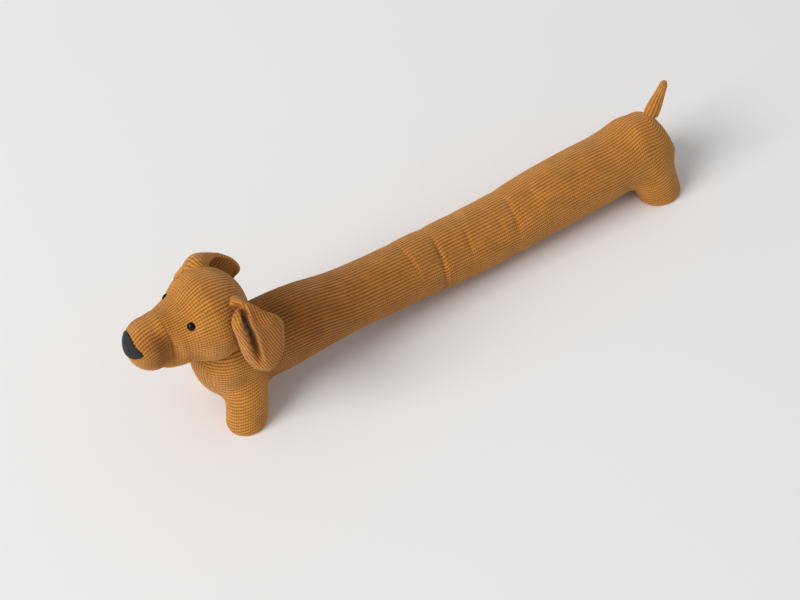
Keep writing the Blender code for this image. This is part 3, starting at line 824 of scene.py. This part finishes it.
def finer(table, spacing):
    """The rows of an ear on smooth curves, about so many millimetres apart along its middle."""
    middles = (table[:, :3] + table[:, 3:6]) / 2
    run = travelled(middles)
    keyed = np.column_stack([run, table])
    at = np.linspace(0, run[-1], int(run[-1] / spacing) + 1)
    return at, np.column_stack([through(keyed, column, at) for column in range(1, table.shape[1] + 1)])


print("along their bends the ears are", [round(finer(table, EAR_ROW)[0][-1]) for table in (NEAR_EAR, FAR_EAR)], "mm")

# %% Shape an ear
def make_ear(name, table, side, slant, bulge_power, shade_strength):
    """An ear in rows from its root to its tip: the outer face, round the edge, and back on the inner face."""
    run, rows = finer(table, EAR_ROW)
    fronts, backs = rows[:, None, :3], rows[:, None, 3:6]
    fold, slit, bulge, pocket = (rows[:, None, k] for k in (6, 7, 8, 9))
    chord = backs - fronts
    width = np.linalg.norm(chord, axis=2)
    rim_angles = np.radians(np.linspace(0, 90, EAR_RIM))
    near_edge = EDGE * (1 - np.cos(rim_angles[:-1])) / EAR_WIDTH
    inside = near_edge[-1] + RIM_GAP + np.linspace(0, 1, EAR_INNER) * (1 - 2 * near_edge[-1] - 2 * RIM_GAP)
    across = np.concatenate([near_edge, inside, 1 - near_edge[::-1]])
    full = np.minimum(1, EAR_NARROW + width / EAR_WIDTH)
    middles = (fronts + backs) / 2
    down = np.gradient(middles, axis=0)
    out = unit(np.cross(chord, down) * side)
    plain = bulge * np.sin(np.pi * across) ** bulge_power
    past = np.clip((across - slit) / (1 - slit), 0, 1)
    roll = EAR_ROLL * np.sin(np.pi * np.clip(across / slit, 0, 1)) ** ROLL_POWER
    flap = FLAP_BULGE * bulge * np.sin(np.pi * past) ** FLAP_POWER + hill(past, *EAR_RIDGE)
    folded = np.where(across < slit, roll, flap) - hill((across - slit) * width, *EAR_SLIT, 4)
    under_root = np.maximum(pocket, 0) * (1 - smooth(across, *POCKET_ACROSS))
    stand = (fold * folded + (1 - fold) * plain) * full - POCKET_DEEP * under_root
    from_edge = np.minimum(across, 1 - across) * EAR_WIDTH
    rim = np.sqrt(np.clip(1 - (1 - np.minimum(from_edge, EDGE) / EDGE) ** 2, 0, 1))
    welt = hill(from_edge, *WELT) - hill(from_edge, *WELT_GROOVE)
    half = (EAR_THICKNESS / 2 + welt) * full * rim
    places = fronts + chord * across[None, :, None]
    points = all_round(places + out * (stand + half)[..., None], places + out * (stand - half)[..., None])
    ribs = ((across * width - slit * width) * math.cos(slant) - run[:, None] * math.sin(slant)) / EAR_RIB
    ribs = all_round(ribs, ribs, None)
    normal = outward(points, True, (places + out * stand[..., None]).mean(axis=1, keepdims=True))
    both = np.concatenate([rim, rim[-2:0:-1]])
    ends = smooth(width[:, 0], *EAR_RIBBED)[:, None]
    points = points + normal * (EAR_RELIEF * RELIEF * both * ends * raised(ribs))[..., None]
    # painted shade in the slit under the roll, in the pocket at the root and on the flap that faces away from the
    # light
    slot = hill(across - slit, *SLIT_SHADE, 4) * fold * (1 - SLIT_WEAKER * smooth(run[:, None], *SLIT_ALONG))
    outer_shade = np.maximum(slot, under_root + FLAP_SHADE * smooth(across - slit, *FLAP_ACROSS))
    painted_shade = np.clip(shade_strength * outer_shade, 0, 2)
    painted_shade = all_round(painted_shade, 0 * painted_shade)
    return cloth(name, points + HEAD_MIDDLE, in_rows(run, ribs.shape[1]), ribs, painted_shade=painted_shade)


near_ear = make_ear("ear_near", NEAR_EAR, side=-1, slant=math.radians(15), bulge_power=0.8, shade_strength=1.8)
far_ear = make_ear("ear_far", FAR_EAR, side=1, slant=math.radians(-50), bulge_power=0.6, shade_strength=0.0)

# %% [markdown]
# ## The tail
# A short stuffed taper, sewn on at the top of the rump. The stitches pull its root in, so it has a waist.

# %% Make the tail
# run, x, z, radius
TAIL = np.array([
    (0, 401, 92, 9.0), (12, 405.5, 103, 10.2), (22, 409.5, 113, 10.6), (35, 414, 125, 9.8), (49, 419, 139, 7.8),
    (62, 423, 151, 6.2), (71, 425.5, 159.5, 5.0), (75, 426.5, 163, 3.2)])
TAIL_Y, TAIL_RIBS, TAIL_ROWS = 7.0, 12, 60
# its ribs' relief where its radius is 9 mm: they get finer as it tapers
TAIL_RELIEF, RELIEF_RADIUS = 0.8, 9
# the waist and the painted shade in its crease: how much, place and width
WAIST, WAIST_SHADE = (0.26, 15.5, 2.6), (1.3, 14.5, 2.2)
tail_run = np.linspace(0, TAIL[-1, 0], TAIL_ROWS)
tail_x, tail_z, tail_r = (through(TAIL, column, tail_run)[:, None] for column in (1, 2, 3))
tail_angles = np.linspace(0, 2 * np.pi, TAIL_RIBS * RIB_STEPS, endpoint=False)
lean = np.arctan2(np.gradient(tail_x, axis=0), np.gradient(tail_z, axis=0))
tail_r = tail_r * (1 - hill(tail_run[:, None], *WAIST))
tail_ribs = np.repeat((np.arange(TAIL_RIBS * RIB_STEPS + 1) / RIB_STEPS)[None], TAIL_ROWS, axis=0)
tail_reach = tail_r + TAIL_RELIEF * tail_r / RELIEF_RADIUS * raised(tail_ribs)
front, sideways = tail_reach * np.cos(tail_angles), tail_reach * np.sin(tail_angles)
tail = xyz(tail_x - front * np.cos(lean), TAIL_Y + sideways, tail_z + front * np.sin(lean))
# painted shade in the crease at the waist
waist_shade = in_rows(hill(tail_run, *WAIST_SHADE), TAIL_RIBS * RIB_STEPS)
tail_piece = cloth("tail_taper", tail, in_rows(tail_run, tail_ribs.shape[1]), tail_ribs, painted_shade=waist_shade)

# %% [markdown]
# ## The nose
# A patch of dark grey imitation leather is sewn over the tip of the muzzle. It follows the muzzle's round end,
# stands a little proud, and its edge turns under.

# %% Make the nose patch
# y and z on the tip
NOSE_OUTLINE = np.array((
    (-23, 9.5), (-19.5, 14.5), (-14, 17.5), (-5, 22.3), (5, 23.7), (14, 20.5), (20, 15), (22, 8), (18, 1),
    (9, -2), (0, -3), (-9, -1), (-15.5, 1.5), (-20, 4.5)), float)
NOSE_POINTS, NOSE_MIDDLE_Z = 120, 7
# how proud the patch stands, how far its edge turns under, and from which share of the way out
NOSE_STANDS, NOSE_TURN, NOSE_FLAT = 1.95, 3.0, 0.9


def closed_curve(points, count):
    """A smooth closed curve through points."""
    size = len(points)
    at = np.arange(count) * size / count
    i, part = at.astype(int), (at % 1)[:, None]
    p0, p1, p2, p3 = (points[(i + k) % size] for k in (-1, 0, 1, 2))
    return 0.5 * (2 * p1 + (p2 - p0) * part + (2 * p0 - 5 * p1 + 4 * p2 - p3) * part ** 2
                  + (3 * p1 - p0 - 3 * p2 + p3) * part ** 3)


def muzzle_tip(y, z, stands):
    """The point of the muzzle's round end at y and z, standing proud."""
    first = HEAD[0]
    wide, high, deep = first[2], np.where(z > 0, first[3], first[4]), MUZZLE_DEPTH
    rest = np.sqrt(np.maximum(1 - (y / wide) ** 2 - (z / high) ** 2, 0.02))
    normal = unit(xyz(-rest / deep, y / wide ** 2, z / high ** 2))
    return xyz(first[0] - deep * rest, y, z) + normal * stands[..., None]


outline = closed_curve(NOSE_OUTLINE, NOSE_POINTS)
nose_share = np.concatenate([np.linspace(0.03, NOSE_FLAT, 20), np.linspace(0.92, 1.0, 8)])[:, None]
nose_y = outline[:, 0] * nose_share
nose_z = NOSE_MIDDLE_Z + (outline[:, 1] - NOSE_MIDDLE_Z) * nose_share
turned = np.clip((nose_share - NOSE_FLAT) / 0.1, 0, 1)
nose_stands = NOSE_STANDS - NOSE_TURN * (1 - np.sqrt(1 - turned ** 2))
nose_points = muzzle_tip(nose_y, nose_z, nose_stands)
nose_along = np.repeat(nose_share * 30, NOSE_POINTS + 1, axis=1)
nose_patch = cloth("nose_patch", nose_points, nose_along, nose_along, ends=(True, False), place=head_place)

# %% Imitation leather, embossed
# in a metre: pores of 1.4 mm, and cloudy patches of 6 mm. The grain spreads the light, so it looks matt.
PORES, LEATHER_CLOUDS = 700.0, 160.0
leather, tree, shader = new_material("dark_grey_imitation_leather_embossed")
where = clouded(tree, shader, LEATHER_CLOUDS, "131212", "2B2A2B", detail=4.0)
grain = add(tree, "TexVoronoi", {"Vector": where, "Scale": PORES}).outputs["Distance"]
bump = add(tree, "Bump", {"Height": grain, "Strength": 0.4, "Distance": 0.0004})
fill(shader, {"Normal": bump, "Roughness": 0.62, "Specular IOR Level": 0.3})
print("the nose patch is", round(float(np.ptp(outline[:, 0]))), "mm wide")

# %% [markdown]
# ## The eyes
# Two round black beads, sewn into small dimples. A bead is turned from one profile and looks like smooth
# moulded plastic, so it is nearly black with one small, slightly soft highlight.

# %% Make the eyes
EYE_RADIUS, EYE_SUNK, EYE_FLAT = 5.7, 2.0, 0.86
EYE_ROWS, EYE_COLUMNS = 40, 64


def make_eye(name, spot):
    """A bead at a spot on the head, a little flat and sunk into its dimple."""
    axis = Vector(spot).normalized()
    turn_to = axis.to_track_quat("Z", "Y").to_matrix().to_4x4()
    steps = np.radians(np.linspace(2, 178, EYE_ROWS))[:, None]
    angles = np.linspace(0, 2 * np.pi, EYE_COLUMNS, endpoint=False)
    across = np.sin(steps)
    points = EYE_RADIUS * xyz(across * np.cos(angles), across * np.sin(angles), EYE_FLAT * np.cos(steps))
    spread = np.repeat(steps, EYE_COLUMNS + 1, axis=1)
    place = head_place @ Matrix.Translation(Vector(spot * MM) - axis * EYE_SUNK * MM) @ turn_to
    return cloth(name, points, spread, spread, place=place)


eyes = [make_eye("eye_bead_" + side, spot) for side, spot in EYES.items()]
bead, tree, shader = new_material("black_acrylic_bead_polished")
BEAD_CLOUDS = 300.0
clouded(tree, shader, BEAD_CLOUDS, "050505", "0B0A0A")
fill(shader, {"Roughness": 0.25, "Specular IOR Level": 0.2, "IOR": 1.49})

# %% [markdown]
# ## Dress the frame
# Every piece rides on the dog's one body, stands for its solid in the imported model, and takes its finish.

# %% Materials and nodes
# piece, node, material, slot and how tight it is stuffed
dressed = [
    *[(piece, "body", corduroy, "corduroy", 0.85) for piece in (body_tube, throat, *legs)],
    (head_piece, "head", corduroy, "corduroy", 0.9), (near_ear, "ear_left", corduroy, "corduroy", 0.2),
    (far_ear, "ear_right", corduroy, "corduroy", 0.2), (tail_piece, "tail", corduroy, "corduroy", 0.8),
    (nose_patch, "nose", leather, "nose_patch", None),
    (eyes[0], "eye_left", bead, "bead", None), (eyes[1], "eye_right", bead, "bead", None)]
for piece, node, finish, slot, tight in dressed:
    piece.data.materials.append(finish)
    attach(piece, "root")
    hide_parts(node)
print(len(dressed), "pieces dressed")

# %% [markdown]
# ## Floor and light
# The dog lies on a plain white sweep, so the floor is a pale plane that runs past the view. One large soft
# window of light stands far off beyond its nose, rather low, and the room fills in the rest: the shadows run
# back along the body and are soft at a hand's width from the cloth.

# %% The studio
bpy.ops.mesh.primitive_grid_add(x_subdivisions=8, y_subdivisions=8, size=12)
floor = bpy.context.object
floor.name = "floor"
paper, tree, shader = new_material("white_paper_sweep")
PAPER_CLOUDS = 1.5
clouded(tree, shader, PAPER_CLOUDS, "F1F0EE", "F4F3F1")
fill(shader, {"Roughness": 0.9, "Specular IOR Level": 0.1})
floor.data.materials.append(paper)
floor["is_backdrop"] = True

# a square panel: where it stands from the dog and how far in metres, its width in metres and its watts
WINDOW_FROM, WINDOW_FAR, WINDOW_WIDE, WINDOW_POWER = Vector((-1.0, 0.05, 0.77)).normalized(), 12.0, 6.5, 1165
lamp = bpy.data.lights.new("window", "AREA")
lamp.shape, lamp.size, lamp.energy, lamp.color = "SQUARE", WINDOW_WIDE, WINDOW_POWER, colour("FFFEFD")[:3]
window = bpy.data.objects.new("window", lamp)
looks = WINDOW_FROM.to_track_quat("Z", "Y").to_matrix().to_4x4()
window.matrix_world = Matrix.Translation(WINDOW_FROM * WINDOW_FAR) @ looks
scene.collection.objects.link(window)
world = bpy.data.worlds.new("room")
world.use_nodes = True
fill(world.node_tree.nodes["Background"], {"Color": colour("F3F3F5"), "Strength": 0.49})
scene.world = world
scene.view_settings.view_transform = "Standard"
print("the window stands", round(window.location.length, 1), "m away")

# %% [markdown]
# ## Compare the size
# The dressed dog's box is measured beside the imported one's, and how far it grew is printed.

# %% Measure both boxes
dressed_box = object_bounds()
grown = [(b - a) / MM for before, after in zip(packed_box, dressed_box) for a, b in zip(before, after)]
print("grew by", [round(n, 1) for n in grown], "mm")
